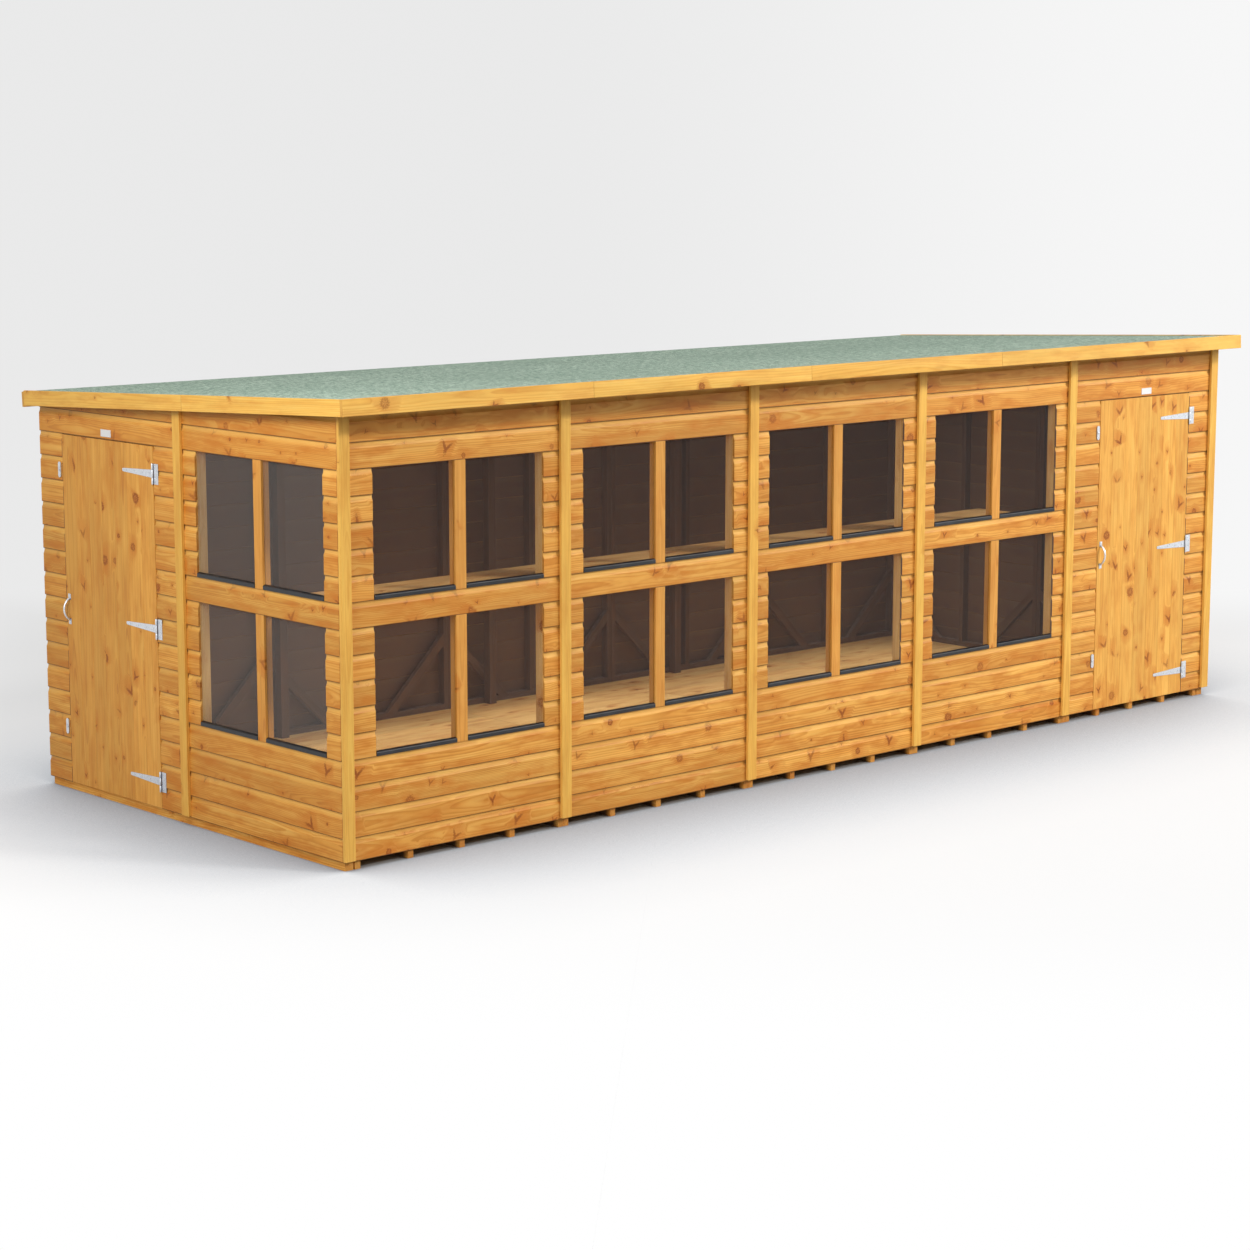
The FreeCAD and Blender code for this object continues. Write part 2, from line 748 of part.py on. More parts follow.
# one more joist carries the post beside the front door
joists.append(joist("joist", f"({panel_left(WINDOW_PANELS)} + joist_wide + panel_gap)", "joist_wide"))
node("floor_joists", joists)
node("floor_boards", planks)
node("end_bearers", [
    joist("bearer", FLOOR_EDGE, "bearer_wide"),
    joist("bearer", f"({FRONT} - {FLOOR_EDGE} - bearer_wide)", "bearer_wide"),
])

# Roof: rafters down the slope, boards across them, felt, and fascia boards all round

DECK_LEFT = "(-strip_thick - end_gap)"
DECK_WIDE = f"({FRONT} - 2 * {DECK_LEFT})"
DECK_FRONT = "(-strip_thick - front_gap)"
DECK_LONG = f"(depth + strip_thick + back_gap - {DECK_FRONT})"
PLANK_PITCH = f"({DECK_LONG} / {ROOF_ROWS})"
FELT_PITCH = f"({DECK_LONG} / {FELT_STRIPS})"
FASCIA_LEFT = f"({DECK_LEFT} - fascia_thick)"
FASCIA_LONG = f"({DECK_WIDE} + 2 * fascia_thick)"


def roof_joint(piece):
    """Place of the joint at the right of one length of the roof."""
    return f"({FASCIA_LEFT} + {piece} * front_fascia_piece)"


rafter_places = [DECK_LEFT, f"({DECK_LEFT} + {DECK_WIDE} - rafter_wide)"]
for i in range(1, RAFTERS_IN_PIECE * FASCIA_PIECES + 1):
    rafter_places.append(f"({roof_joint(i / RAFTERS_IN_PIECE)} - rafter_wide / 2)")
rafters = []
for x in rafter_places:
    beam = box("rafter", "rafter_wide", DECK_LONG, "rafter_deep")
    rafters.append(on_roof(beam, x, DECK_FRONT, "0"))
node("roof_rafters", rafters)

# a post on the floor by the back wall carries the rafter at each joint of the roof
posts = []
for i in range(1, FASCIA_PIECES):
    posts.append(FRONT_WALL.timber("roof_post", f"({roof_joint(i)} - post_wide / 2)",
                                   f"(depth - {FRAME_BACK} - post_wide)", FLOOR_TOP, "post_wide", "post_wide",
                                   f"{BACK_WALL.roof_line('0', FRAME_BACK)} - {FLOOR_TOP}"))
node("roof_posts", posts)

planks = []
for i in range(ROOF_ROWS):
    plank = box("roof_plank", DECK_WIDE, f"{PLANK_PITCH} - floor_joint", "roof_board")
    planks.append(on_roof(plank, DECK_LEFT, f"{DECK_FRONT} + {i} * {PLANK_PITCH}", "rafter_deep"))
node("roof_boards", planks)

strips = []
for i in range(FELT_STRIPS):
    strip = box("felt_strip", DECK_WIDE, FELT_PITCH, "felt_thick")
    strips.append(on_roof(strip, DECK_LEFT, f"{DECK_FRONT} + {i} * {FELT_PITCH}", "rafter_deep + roof_board"))
node("roof_felt", strips)


def fascia_board(x, down, length, along_front, drop="fascia_drop"):
    """One length of fascia, along the front or back, or down an end of the roof."""
    run = f"{length} - fascia_joint"
    if along_front:
        piece = box("fascia_length", run, "fascia_thick", "fascia_tall")
    else:
        piece = box("fascia_length", "fascia_thick", run, "fascia_tall")
    return on_roof(piece, x, down, f"-{drop}")


FASCIA_DOWN = {
    "front_fascia": (f"({DECK_FRONT} - fascia_thick)", "fascia_drop"),
    "back_fascia": (f"({DECK_FRONT} + {DECK_LONG})", "back_fascia_drop"),
}
for name, (down, drop) in FASCIA_DOWN.items():
    pieces = []
    for i in range(FASCIA_PIECES):
        start = f"({i} * front_fascia_piece)"
        length = "front_fascia_piece" if i < FASCIA_PIECES - 1 else f"{FASCIA_LONG} - {start} + fascia_joint"
        pieces.append(fascia_board(roof_joint(i), down, length, True, drop))
    node(name, pieces)
for name, x in (("left_fascia", FASCIA_LEFT), ("right_fascia", f"({DECK_LEFT} + {DECK_WIDE})")):
    node(name, [
        fascia_board(x, DECK_FRONT, "end_fascia_piece", False),
        fascia_board(x, f"{DECK_FRONT} + end_fascia_piece", f"{DECK_LONG} - end_fascia_piece", False),
    ])

# Door furniture

STRAP_OUTLINE = outline("strap_outline", [
    ("0", "-strap_root / 2"),
    ("0", "strap_root / 2"),
    ("-strap_long + strap_tip / 2", "strap_tip / 2"),
    ("-strap_long + strap_tip / 2", "-strap_tip / 2"),
])
SCREW_PROFILE = outline("screw_profile", [
    ("0", "screw_dome"),
    ("0", "-screw_long"),
    ("screw_radius", "-screw_long + screw_radius"),
    ("screw_radius", "0"),
    ("screw_head", "0"),
    ("screw_head", "screw_rim"),
    ("screw_head / 2", "screw_dome"),
])
STRAP_SCREWS = (0.12, 0.36, 0.62, 0.88)
PLATE_SCREWS = ((0.42, 0.38), (0.74, 0.16))


def screw(wall, a, d, z):
    """A round-headed wood screw with the seat of its head at d."""
    obj = doc.addObject("Part::Revolution", "screw")
    obj.Source = SCREW_PROFILE
    obj.Axis = Y_AXIS
    obj.Angle = 360
    obj.Solid = True
    return wall.stand(obj, a, d, z, OUT_OF_WALL)


def screw_holes(wall, places):
    """Drills for the screws of a leaf that lies on the wall or the door."""
    radius = "screw_radius + screw_play"
    return [wall.disc("drill", a, "leaf_thick", z, radius, "3 * leaf_thick") for a, z in places]


def barrel(wall, a, z, radius, height):
    """An upright cylinder on a hinge's axis."""
    return wall.stand(cylinder("barrel", radius, height), a, f"-{KNUCKLE_OUT}", z)


def hinge_strap(wall, axis, height):
    """The long leaf on the door with the middle knuckle, and its screws."""
    tip_middle = f"({axis} - strap_long + strap_tip / 2)"
    places = [(f"({axis} - strap_long * {share})", height) for share in STRAP_SCREWS]
    body = fuse("strap_body", [
        wall.plate("strap_leaf", STRAP_OUTLINE, axis, "0", height, "leaf_thick"),
        wall.disc("strap_end", tip_middle, "0", height, "strap_tip / 2", "leaf_thick"),
        barrel(wall, axis, f"{height} - strap_root / 2 + knuckle_play", "knuckle_radius",
               "strap_root - 2 * knuckle_play"),
    ])
    bore = barrel(wall, axis, f"{height} - strap_root", BORE, "2 * strap_root")
    strap = cut("strap", body, fuse("strap_cuts", [bore] + screw_holes(wall, places)))
    return strap, [screw(wall, a, "-leaf_thick", z) for a, z in places]


def hinge_plate(wall, axis, height):
    """The short leaf on the wall with the outer knuckles, its pin, and its screws."""
    end_tall = "((plate_tall - strap_root) / 2 - knuckle_play)"
    plate_foot = f"({height} - plate_tall / 2)"
    gap_foot = f"({height} - strap_root / 2 - knuckle_play)"
    gap_top = f"({height} + strap_root / 2 + knuckle_play)"
    body = fuse("plate_body", [
        wall.timber("plate_leaf", axis, "-leaf_thick", plate_foot, "plate_wide", "leaf_thick", "plate_tall"),
        barrel(wall, axis, plate_foot, "knuckle_radius", end_tall),
        barrel(wall, axis, gap_top, "knuckle_radius", end_tall),
    ])
    notch = wall.timber("notch", f"{axis} - knuckle_radius", f"-2 * {KNUCKLE_OUT}", gap_foot,
                        "2 * knuckle_radius + notch_room", f"4 * {KNUCKLE_OUT}", f"{gap_top} - {gap_foot}")
    bore = barrel(wall, axis, f"{height} - plate_tall", BORE, "2 * plate_tall")
    places = [(f"({axis} + plate_wide * {out})", f"({height} + ({side}) * plate_tall * {up})")
              for out, up in PLATE_SCREWS for side in (-1, 1)]
    plate = cut("plate", body, fuse("plate_cuts", [notch, bore] + screw_holes(wall, places)))
    pin = barrel(wall, axis, f"{plate_foot} - pin_past", "pin_radius", "plate_tall + 2 * pin_past")
    return plate, pin, [screw(wall, a, "-leaf_thick", z) for a, z in places]


def pull_handle(wall, a):
    """A bowed bar on two feet, and the screws of the feet."""
    ring_radius = "((handle_chord * handle_chord / 4 + handle_rise * handle_rise) / (2 * handle_rise))"
    ring = new("Part::Torus", "ring", Radius1=ring_radius, Radius2="handle_bar")
    wall.stand(ring, a, f"{ring_radius} - handle_rise", "handle_height", RING_UPRIGHT)
    bow = doc.addObject("Part::Common", "bow")
    bow.Base = ring
    bow.Tool = wall.timber("outside", f"{a} - foot_wide", "-4 * handle_rise", "handle_height - handle_chord",
                           "2 * foot_wide", "4 * handle_rise", "2 * handle_chord")
    feet = []
    places = []
    for side in (-1, 1):
        middle = f"(handle_height + ({side}) * (handle_chord / 2 + foot_tall / 4))"
        feet.append(wall.timber("foot", f"{a} - foot_wide / 2", "-leaf_thick", f"{middle} - foot_tall / 2",
                                "foot_wide", "leaf_thick", "foot_tall"))
        places.append((a, f"({middle} + ({side}) * foot_tall / 4)"))
    handle = cut("handle", fuse("handle_body", [bow] + feet), fuse("handle_cuts", screw_holes(wall, places)))
    return handle, [screw(wall, a, "-leaf_thick", z) for a, z in places]


def turn_button(wall, a, height):
    """A long button with round ends and a boss, and the screw that it turns on."""
    reach = "(button_long / 2 - button_wide / 2)"
    face = "-turning_room - button_thick"
    body = fuse("button_body", [
        wall.timber("button_leaf", f"{a} - button_wide / 2", face, f"{height} - {reach}", "button_wide",
                    "button_thick", f"2 * {reach}"),
        wall.disc("button_end", a, "-turning_room", f"{height} - {reach}", "button_wide / 2", "button_thick"),
        wall.disc("button_end", a, "-turning_room", f"{height} + {reach}", "button_wide / 2", "button_thick"),
        wall.disc("button_boss", a, "-turning_room", height, "button_boss", "button_thick + boss_rise"),
    ])
    hole = wall.disc("pivot_hole", a, "button_thick", height, "screw_radius + pivot_play",
                     "3 * button_thick + 2 * boss_rise")
    head_seat = "-2 * turning_room - button_thick - boss_rise"
    return cut("button", body, hole), screw(wall, a, head_seat, height)


def door(wall, name, opening, wide):
    """One door and its furniture as nodes; returns the pieces that stay on the wall."""
    left = f"({opening} + door_gap)"
    door_wide = f"({wide} - 2 * door_gap)"
    axis = f"({left} + {door_wide} + door_gap / 2)"
    foot = "(cladding_foot + door_gap)"
    tall = f"({UPPER_HEAD} - door_gap - {foot})"
    board_wide = f"({door_wide} / {DOOR_BOARDS})"
    node(f"{name}_boards", [
        wall.timber("door_board", f"({left} + {i} * {board_wide})", "0", foot, f"{board_wide} - door_joint",
                    DOOR_THICK, tall)
        for i in range(DOOR_BOARDS)
    ])

    ledge_left = f"({left} + ledge_inset)"
    ledge_long = f"({door_wide} - 2 * ledge_inset)"
    ledges = [wall.timber("ledge", ledge_left, DOOR_THICK, f"{height} - ledge_wide / 2", ledge_long,
                          "ledge_thick", "ledge_wide") for height in HINGES]
    for low, high in zip(HINGES, HINGES[1:]):
        brace = brace_outline("door_brace", ledge_long, f"({high} - {low} - ledge_wide)", False)
        ledges.append(wall.plate("door_brace", brace, ledge_left, f"{DOOR_THICK} + ledge_thick",
                                 f"{low} + ledge_wide / 2", "ledge_thick"))
    node(f"{name}_ledges_and_braces", ledges)

    straps = []
    door_screws = []
    wall_pieces = {"hinge_plates": [], "hinge_pins": [], "wall_screws": [], "name_plates": []}
    for height in HINGES:
        strap, screws = hinge_strap(wall, axis, height)
        straps.append(strap)
        door_screws += screws
        plate, pin, screws = hinge_plate(wall, axis, height)
        wall_pieces["hinge_plates"].append(plate)
        wall_pieces["hinge_pins"].append(pin)
        wall_pieces["wall_screws"] += screws
    node(f"{name}_hinge_straps", straps)

    handle, screws = pull_handle(wall, f"({left} + handle_side)")
    node(f"{name}_handle", [handle])
    node(f"{name}_screws", door_screws + screws)

    for which, height in (("top", "button_top"), ("low", "button_low")):
        button, pivot = turn_button(wall, f"({opening} - button_side)", height)
        node(f"{name}_{which}_button", [button])
        wall_pieces["wall_screws"].append(pivot)

    plate_left = f"({opening} + {wide} / 2 - badge_wide / 2)"
    wall_pieces["name_plates"].append(wall.timber("name_plate", plate_left, "-badge_thick",
                                                  f"{UPPER_HEAD} + badge_rise", "badge_wide", "badge_thick",
                                                  "badge_tall"))
    return wall_pieces


front_pieces = door(FRONT_WALL, "front_door", front_opening, FRONT_OPENING)
end_pieces = door(LEFT_WALL, "end_door", end_opening, END_OPENING)
for name in front_pieces:
    node(name, front_pieces[name] + end_pieces[name])

# Recompute, check every object, and write one file for each named sub-part
doc.recompute()
for obj in doc.Objects:
    if "Invalid" in obj.State or "Error" in obj.State:
        raise RuntimeError(f"{obj.Name} ({obj.Label}) did not compute: {obj.State}")
for obj in nodes:
    if obj.Shape.isNull() or not obj.Shape.isValid() or not obj.Shape.Solids:
        raise RuntimeError(f"{obj.Label} has no sound shape")

os.makedirs("parts", exist_ok=True)
for obj in nodes:
    obj.Shape.exportStep(f"parts/{obj.Label}.step")
print(len(nodes), "sub-parts,", sum(len(obj.Shape.Solids) for obj in nodes), "solids")
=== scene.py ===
import math
import random

import bpy
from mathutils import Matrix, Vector

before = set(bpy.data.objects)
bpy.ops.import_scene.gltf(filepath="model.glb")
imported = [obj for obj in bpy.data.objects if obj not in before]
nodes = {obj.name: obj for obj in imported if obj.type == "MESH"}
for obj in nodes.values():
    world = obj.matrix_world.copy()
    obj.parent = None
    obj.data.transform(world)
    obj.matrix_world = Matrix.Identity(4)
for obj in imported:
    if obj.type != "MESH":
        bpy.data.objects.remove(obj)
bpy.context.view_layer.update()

# The camera of the photograph
CAMERA_PLACE = (-10.3213, -10.9656, 3.0887)
CAMERA_YAW = 42.329
CAMERA_PITCH = -9.403
CAMERA_LENS = 83.01
SENSOR = 36.0
CLIP_END = 500.0


# Helpers that build material nodes

class Graph:
    """A node tree of a material or the world, with short calls for the nodes that these finishes use."""

    # sockets of a colour mix: its two colours and its result
    MIX_A = 6
    MIX_B = 7
    MIX_RESULT = 2

    def __init__(self, owner, output="ShaderNodeOutputMaterial"):
        owner.use_nodes = True
        self.owner = owner
        self.tree = owner.node_tree
        self.tree.nodes.clear()
        self.output = self.tree.nodes.new(output)

    def node(self, kind, inputs=None, **settings):
        made = self.tree.nodes.new(kind)
        for key, value in settings.items():
            setattr(made, key, value)
        for key, value in (inputs or {}).items():
            self.feed(made.inputs[key], value)
        return made

    def feed(self, socket, value):
        if isinstance(value, bpy.types.NodeSocket):
            self.tree.links.new(value, socket)
        else:
            socket.default_value = value

    def math(self, operation, a, b=0.0):
        return self.node("ShaderNodeMath", {0: a, 1: b}, operation=operation).outputs[0]

    def add(self, *values):
        total = values[0]
        for value in values[1:]:
            total = self.math("ADD", total, value)
        return total

    def times(self, *values):
        product = values[0]
        for value in values[1:]:
            product = self.math("MULTIPLY", product, value)
        return product

    def minus(self, a, b):
        return self.math("SUBTRACT", a, b)

    def size(self, value):
        return self.math("ABSOLUTE", value)

    def larger(self, a, b):
        return self.math("MAXIMUM", a, b)

    def far(self, a, b):
        """The length of a step of a along one axis and b along another."""
        return self.math("SQRT", self.add(self.times(a, a), self.times(b, b)))

    def vector(self, x=0.0, y=0.0, z=0.0):
        return self.node("ShaderNodeCombineXYZ", {0: x, 1: y, 2: z}).outputs[0]

    def split(self, vector):
        return self.node("ShaderNodeSeparateXYZ", {0: vector}).outputs

    def attribute(self, name):
        """The three numbers that each solid of a node carries under a name."""
        return self.split(self.node("ShaderNodeAttribute", attribute_name=name).outputs["Vector"])

    def place(self):
        """The three coordinates of a point on the piece, at rest."""
        return self.split(self.node("ShaderNodeTexCoord").outputs["Object"])

    def smooth(self, value, low, high, start=0.0, end=1.0):
        """A smooth step from start, where a value is low, to end, where it is high."""
        inputs = {"Value": value, "From Min": low, "From Max": high, "To Min": start, "To Max": end}
        return self.node("ShaderNodeMapRange", inputs, interpolation_type="SMOOTHSTEP").outputs["Result"]

    def noise(self, vector, scale=1.0, detail=2.0, roughness=0.5):
        inputs = {"Vector": vector, "Scale": scale, "Detail": detail, "Roughness": roughness}
        return self.node("ShaderNodeTexNoise", inputs).outputs["Fac"]

    def cells(self, vector, scale, **settings):
        return self.node("ShaderNodeTexVoronoi", {"Vector": vector, "Scale": scale}, **settings).outputs

    def picks(self, cells):
        """Three chance numbers that each cell has."""
        return self.node("ShaderNodeSeparateColor", {0: cells["Color"]}).outputs

    def openness(self, reach, samples):
        """1 where nothing stands within reach of a point, falling to 0 where it is closed in."""
        return self.node("ShaderNodeAmbientOcclusion", {"Distance": reach}, samples=samples).outputs["AO"]

    def mix(self, share, a, b, blend="MIX"):
        made = self.node("ShaderNodeMix", data_type="RGBA", blend_type=blend)
        self.feed(made.inputs["Factor"], share)
        self.feed(made.inputs[self.MIX_A], a)
        self.feed(made.inputs[self.MIX_B], b)
        return made.outputs[self.MIX_RESULT]

    def stain(self, colour, where, stain, amount=1.0):
        """A colour under a mark, a real stain or a painted highlight or shade, which is its share and its
        own colour, where a value is 1.
        """
        share, tint = stain
        return self.mix(self.times(where, share * amount), colour, tint)

    def grey(self, value):
        return self.node("ShaderNodeCombineColor", {0: value, 1: value, 2: value}).outputs[0]

    def ramp(self, value, *stops):
        made = self.node("ShaderNodeValToRGB", {"Fac": value})
        elements = made.color_ramp.elements
        while len(elements) < len(stops):
            elements.new(0.5)
        for element, (place, colour) in zip(elements, stops):
            element.position = place
            element.color = colour
        return made.outputs["Color"]

    def bump(self, height, strength, distance):
        inputs = {"Height": height, "Strength": strength, "Distance": distance}
        return self.node("ShaderNodeBump", inputs).outputs["Normal"]

    def seen(self):
        """1 on rays from the camera, a mirror or a pane, and 0 on rays that only carry light."""
        rays = self.node("ShaderNodeLightPath").outputs
        mirrored = self.larger(rays["Is Glossy Ray"], rays["Is Transmission Ray"])
        return self.larger(rays["Is Camera Ray"], mirrored)

    def blend(self, share, a, b):
        """One shader where the share is 0, another where it is 1."""
        inputs = {0: share, 1: a.outputs[0], 2: b.outputs[0]}
        return self.finish(self.node("ShaderNodeMixShader", inputs).outputs[0])

    def surface(self, **inputs):
        """The principled shader of this material."""
        made = self.node("ShaderNodeBsdfPrincipled")
        for key, value in inputs.items():
            self.feed(made.inputs[key.replace("_", " ")], value)
        return self.finish(made.outputs["BSDF"])

    def finish(self, shader):
        self.tree.links.new(shader, self.output.inputs["Surface"])
        return self.owner


def material(name):
    return Graph(bpy.data.materials.new(name))


def rgb(red, green, blue):
    """A colour written as it looks on a screen, 0 to 255, as the shader's light values."""
    light = [((c / 255 + 0.055) / 1.055) ** 2.4 if c > 10 else c / 255 / 12.92 for c in (red, green, blue)]
    return (*light, 1.0)


# Grain: each sawn piece of wood has its own length, width, thickness and chance numbers

AXES = {"X": Vector((1, 0, 0)), "Y": Vector((0, 1, 0))}
DECIMALS = 5
SHARP_COSINE = 0.9
ACROSS_COSINE = 0.2


def point_key(place):
    """A point to a hundredth of a millimetre, to know it again in another face."""
    return tuple(round(c, DECIMALS) for c in place)


def solids_of(mesh):
    """The faces of each closed solid of a node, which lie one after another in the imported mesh."""
    points = [point_key(vertex.co) for vertex in mesh.vertices]
    unmatched, faces = set(), []
    for face in mesh.polygons:
        faces.append(face)
        corners = [points[i] for i in face.vertices]
        for a, b in zip(corners, corners[1:] + corners[:1]):
            unmatched ^= {(min(a, b), max(a, b))}
        if not unmatched:
            yield faces
            faces = []


def sharp_edges(mesh, faces):
    """The edges of a solid where its faces turn a corner, as vectors, longest first."""
    meeting = {}
    for face in faces:
        corners = [mesh.vertices[i].co for i in face.vertices]
        for a, b in zip(corners, corners[1:] + corners[:1]):
            key = frozenset(point_key(p) for p in (a, b))
            meeting.setdefault(key, []).append((b - a, face.normal))
    pairs = [pair for pair in meeting.values() if len(pair) == 2]
    edges = [edge for (edge, normal), (_, other) in pairs if normal.dot(other) < SHARP_COSINE]
    return sorted(edges, key=lambda edge: -edge.length)


def wood_axes(mesh, faces, along):
    """Unit vectors along the grain, across the wide face and through the thickness of a solid."""
    edges = sharp_edges(mesh, faces)
    length = AXES[along] if along else edges[0].normalized()
    crossing = [edge for edge in edges if abs(edge.normalized().dot(length)) < ACROSS_COSINE]
    wide = crossing[0] - length * crossing[0].dot(length)
    wide.normalize()
    if wide.z < 0:
        wide.negate()
    return length, wide, length.cross(wide)


def lay_grain(name, along=None):
    """Write on each solid of a node where a point lies in its wood, half its size and its chances."""
    mesh = nodes[name].data
    chance = random.Random(name)
    written = {"grain": [], "reach": [], "chance": []}
    for faces in solids_of(mesh):
        axes = wood_axes(mesh, faces, along)
        points = [mesh.vertices[i].co for face in faces for i in face.vertices]
        places = [[point.dot(axis) for axis in axes] for point in points]
        low = [min(values) for values in zip(*places)]
        high = [max(values) for values in zip(*places)]
        numbers = [chance.random() for _ in axes]
        for place in places:
            written["grain"] += [p - (a + b) / 2 for p, a, b in zip(place, low, high)]
            written["reach"] += [(b - a) / 2 for a, b in zip(low, high)]
            written["chance"] += numbers
    for layer, values in written.items():
        mesh.attributes.new(layer, "FLOAT_VECTOR", "CORNER")
        mesh.attributes[layer].data.foreach_set("vector", values)


# Timber: lengths in metres, and patterns as changes per metre along and across, detail and roughness

BOARDS_APART_U = 60.0
BOARDS_APART_V = 40.0
FIBRE = (12.0, 420.0, 2.0, 0.6)
RIPPLE = (6.0, 22.0, 2.0, 0.5)
CLOUD = (2.6, 11.0, 2.0, 0.5)
BLOTCH = (4.5, 19.0, 3.0, 0.6)
FRAY = (170.0, 210.0, 2.0, 0.5)

# Knots: cells and sizes in metres, the fade at a cell's border in cells, and the share that are eyes
KNOT_CELL = 0.12
KNOT_BORDER = 0.16
KNOT_SMALL = 0.006
KNOT_LARGE = 0.026
SMALL_BIAS = 1.3
FAINT = 0.6
FRAY_DEPTH = 1.5
EYE_SHARE = 0.25

# Growth rings, from narrow to twice that, about a pith that sways behind the board
RING = 0.0062
NARROW_RING = 0.7
SWAYS = 1.1
SWAY_V = 0.03
SWAY_W = 0.05
PITH_V = 0.15
PITH_W = 0.022
PITH_W_RANGE = 0.05
KNOT_BEND = 0.006
RIPPLE_DEPTH = 0.0022

# Shiplap boards, measured up from the foot
COVER = 0.1143
COVE = 0.026
# the pale cove is a painted highlight, where the cove turns up to the light
COVE_HIGHLIGHT_RISE = (COVER - COVE - 0.006, COVER - 0.008)
COVE_HIGHLIGHT_SHARE = 0.45
# painted shade over the lower part of each board
FOOT_SHADE_RISE = (0.006, 0.045)
FOOT_SHADE_SHARE = 0.22
# a painted shade line along the joint at the foot of each board
SHADE_LINE_RISE = (0.001, 0.005)

# Distances from an end over which it looks sawn, or painted shade sets in on timber under the floor
SAWN_DEPTH = (0.0003, 0.0008)
UNDERFLOOR_SHADE_DEPTH = (0.004, 0.04)

# Stains on the wood, and painted shade at joints, under the floor and on faces inside the shed: share and
# colour
WARM_STAIN = (0.3, rgb(206, 124, 36))
BLOTCH_STAIN = (0.65, rgb(198, 113, 28))
FLOW_STAIN = (0.25, rgb(202, 122, 42))
HALO_STAIN = (0.5, rgb(202, 114, 30))
KNOT_STAIN = (0.92, rgb(142, 70, 14))
EYE_STAIN = (0.75, rgb(146, 74, 20))
SAWN_STAIN = (0.35, rgb(150, 92, 40))
UNDERFLOOR_PAINTED_SHADE = (1.0, rgb(44, 34, 28))
PAINTED_SHADE_LINE = (0.8, rgb(84, 44, 14))
INNER_PAINTED_SHADE = (0.9, rgb(114, 98, 92))


class Board:
    """Where a point lies in its own piece of wood: u along the grain, v across it and w through it."""

    def __init__(self, g):
        self.g = g
        self.u, self.v, self.w = g.attribute("grain")
        self.half_u, self.half_v, _ = g.attribute("reach")
        self.one, self.two, self.three = g.attribute("chance")
        self.u_own = g.add(self.u, g.times(self.one, BOARDS_APART_U))
        self.v_own = g.add(self.v, g.times(self.two, BOARDS_APART_V))

    def noise(self, pattern, third):
        along, across, detail, roughness = pattern
        place = self.g.vector(self.g.times(self.u_own, along), self.g.times(self.v_own, across), third)
        return self.g.noise(place, 1.0, detail, roughness)


def knot_marks(g, board, share, lean, sweep):
    """A chance of a knot in each cell of a board, each with its own size, slant and strength. Some are an
    eye, the others two strokes like a feather. Gives the dark lines, core, halo and bent grain."""
    spot = g.vector(board.u_own, board.v_own)
    cells = g.cells(spot, 1 / KNOT_CELL, voronoi_dimensions="2D")
    border = g.cells(spot, 1 / KNOT_CELL, voronoi_dimensions="2D", feature="DISTANCE_TO_EDGE")
    pick, size_pick, shape_pick = g.picks(cells)
    away = g.node("ShaderNodeVectorMath", {0: spot, 1: cells["Position"]}, operation="SUBTRACT")
    du, dv, _ = g.split(away.outputs[0])
    strength = g.smooth(g.math("FRACT", g.times(pick, 37.0)), 0.0, 1.0, FAINT, 1.0)
    inside_cell = g.smooth(border["Distance"], 0.0, KNOT_BORDER)
    present = g.times(g.math("LESS_THAN", pick, share), strength, inside_cell)
    size = g.smooth(g.math("POWER", size_pick, SMALL_BIAS), 0.0, 1.0, KNOT_SMALL, KNOT_LARGE)
    fray = g.times(g.minus(board.noise(FRAY, board.w), 0.5), FRAY_DEPTH)

    def around(distance, inner, outer):
        """1 within inner knot sizes of the knot, falling to 0 at outer."""
        sizes = g.add(g.math("DIVIDE", distance, size), fray)
        return g.times(g.smooth(sizes, inner, outer, 1.0, 0.0), present)

    slant = g.add(g.times(g.minus(g.math("FRACT", g.times(shape_pick, 7.0)), 0.5), sweep), lean)
    turn, slope = g.math("COSINE", slant), g.math("SINE", slant)
    across = g.minus(g.times(du, turn), g.times(dv, slope))
    along = g.add(g.times(du, slope), g.times(dv, turn))
    spread = g.larger(g.times(g.add(along, g.times(size, 0.8)), 0.7), 0.0)
    from_tip = g.add(along, g.times(size, 0.45))
    strokes = g.far(g.times(g.minus(g.size(across), spread), 2.0), g.times(from_tip, 0.62))
    ring_line = g.size(g.minus(g.far(du, dv), g.times(size, 0.7)))
    feathered = g.math("GREATER_THAN", shape_pick, EYE_SHARE)
    eyed = g.minus(1.0, feathered)
    feather = g.times(around(strokes, 0.3, 1.05), feathered)
    eye = g.times(around(ring_line, 0.1, 0.45), eyed)
    lines = g.add(feather, eye)
    core = g.times(around(g.far(du, dv), 0.1, 0.75), eyed)
    halo = around(g.far(g.times(du, 0.55), g.times(dv, 0.75)), 0.3, 2.3)
    flow = around(g.far(g.times(du, 0.16), g.times(dv, 0.6)), 0.4, 2.6)
    return lines, core, halo, flow


def growth_rings(g, board, flow):
    """How far a point is from a pith that wanders behind the board, bent round knots, and its late wood."""
    sway = g.minus(g.noise(g.vector(g.times(board.u_own, SWAYS), board.one), 1.0, 1.0), 0.5)
    aside = g.times(g.minus(board.two, 0.5), PITH_V)
    ring_v = g.add(board.v, aside, g.times(sway, SWAY_V))
    ring_w = g.add(board.w, PITH_W, g.times(board.three, PITH_W_RANGE), g.times(sway, SWAY_W))
    ripple = board.noise(RIPPLE, board.w)
    radius = g.add(g.far(ring_v, ring_w), g.times(flow, KNOT_BEND), g.times(ripple, RIPPLE_DEPTH))
    width = g.add(RING * NARROW_RING, g.times(board.one, RING * NARROW_RING))
    ring = g.math("FRACT", g.math("DIVIDE", radius, width))
    late_wood = g.times(g.smooth(ring, 0.3, 0.9), g.smooth(ring, 0.93, 1.0, 1.0, 0.0))
    return radius, late_wood


